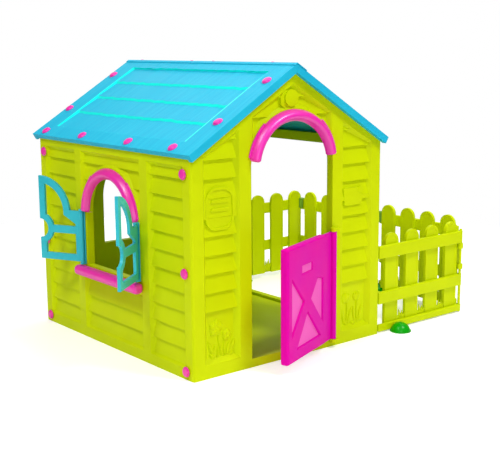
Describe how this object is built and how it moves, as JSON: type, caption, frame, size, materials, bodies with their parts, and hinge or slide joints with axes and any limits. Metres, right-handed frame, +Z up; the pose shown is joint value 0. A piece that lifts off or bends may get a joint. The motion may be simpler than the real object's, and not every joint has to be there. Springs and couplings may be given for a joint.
{
  "type": "playhouse",
  "caption": "Children's plastic garden playhouse with a half door, folding window shutters, a pitched roof and a picket-fenced yard.",
  "frame": {"origin": "centre of the house's floor panel, on the ground", "axes": "+Z up, door wall faces -Y, window wall faces -X, fenced yard on the +X side"},
  "size_m": [1.6523, 1.2694, 1.1019],
  "materials": {
    "lime_plastic": "satin moulded HDPE, lime",
    "cyan_plastic": "satin moulded HDPE, sky blue",
    "magenta_plastic": "smooth moulded polypropylene, magenta",
    "teal_plastic": "satin moulded polypropylene, turquoise",
    "clip_green_plastic": "satin moulded polypropylene, leaf green",
    "green_plastic": "smooth moulded polypropylene, bright green"
  },
  "bodies": {
    "house": {"front_wall": "lime_plastic", "rear_wall": "lime_plastic", "left_wall": "lime_plastic", "right_wall": "lime_plastic", "floor_panel": "lime_plastic", "door_lug_lower": "lime_plastic", "door_lug_upper": "lime_plastic", "fence_side_front": "lime_plastic", "fence_side_rear": "lime_plastic", "fence_rear": "lime_plastic", "fence_corner_rod": "lime_plastic", "fence_catch_front": "lime_plastic", "roof_left": "cyan_plastic", "roof_right": "cyan_plastic", "ridge_cap": "cyan_plastic", "door_arch_trim": "magenta_plastic", "window_arch_trim": "magenta_plastic", "window_sill": "magenta_plastic", "shutter_hinge_near": "teal_plastic", "shutter_hinge_far": "teal_plastic", "fence_clip_front": "lime_plastic", "fence_clip_middle": "clip_green_plastic", "fence_clip_rear": "clip_green_plastic", "fence_foot_side": "green_plastic", "fence_foot_rear": "green_plastic", "wall_bolt_left_1": "magenta_plastic", "wall_bolt_left_2": "magenta_plastic", "wall_bolt_left_3": "magenta_plastic", "wall_bolt_left_4": "magenta_plastic", "wall_bolt_left_5": "magenta_plastic", "wall_bolt_left_6": "magenta_plastic", "wall_bolts_right_front": "magenta_plastic", "wall_bolts_right_rear": "magenta_plastic", "roof_bolt_left_1": "magenta_plastic", "roof_bolt_left_2": "magenta_plastic", "roof_bolt_left_3": "magenta_plastic", "roof_bolt_left_4": "magenta_plastic", "roof_bolt_left_5": "magenta_plastic", "roof_bolt_left_6": "magenta_plastic", "roof_bolt_left_7": "magenta_plastic", "roof_bolt_left_8": "magenta_plastic", "roof_bolt_right_1": "magenta_plastic", "roof_bolt_right_2": "magenta_plastic", "roof_bolt_right_3": "magenta_plastic", "roof_bolt_right_4": "magenta_plastic", "roof_bolt_right_5": "magenta_plastic", "roof_bolt_right_6": "magenta_plastic", "roof_bolt_right_7": "magenta_plastic", "roof_bolt_right_8": "magenta_plastic", "ridge_bolt_1": "magenta_plastic", "ridge_bolt_2": "magenta_plastic", "ridge_bolt_3": "magenta_plastic", "ridge_bolt_4": "magenta_plastic"},
    "door": {"door_leaf": "magenta_plastic"},
    "near_shutter": {"shutter_near": "teal_plastic"},
    "far_shutter": {"shutter_far": "teal_plastic"},
    "yard_gate": {"fence_front": "lime_plastic", "fence_foot_front": "green_plastic"}
  },
  "joints": [
    {"name": "door_hinge", "type": "hinge", "parent": "house", "child": "door", "pos_m": [0.191, -0.554, 0.25], "axis": [0, 0, 1], "range_deg": [-22, 88]},
    {"name": "near_shutter_hinge", "type": "hinge", "parent": "house", "child": "near_shutter", "pos_m": [-0.479, -0.21, 0.42], "axis": [0, 0, 1], "range_deg": [-128, 32]},
    {"name": "far_shutter_hinge", "type": "hinge", "parent": "house", "child": "far_shutter", "pos_m": [-0.479, 0.184, 0.42], "axis": [0, 0, -1], "range_deg": [-153, 7]},
    {"name": "fence_front_hinge", "type": "hinge", "parent": "house", "child": "yard_gate", "pos_m": [0.978, -0.528, 0.2], "axis": [0, 0, 1], "range_deg": [0, 90]}
  ]
}
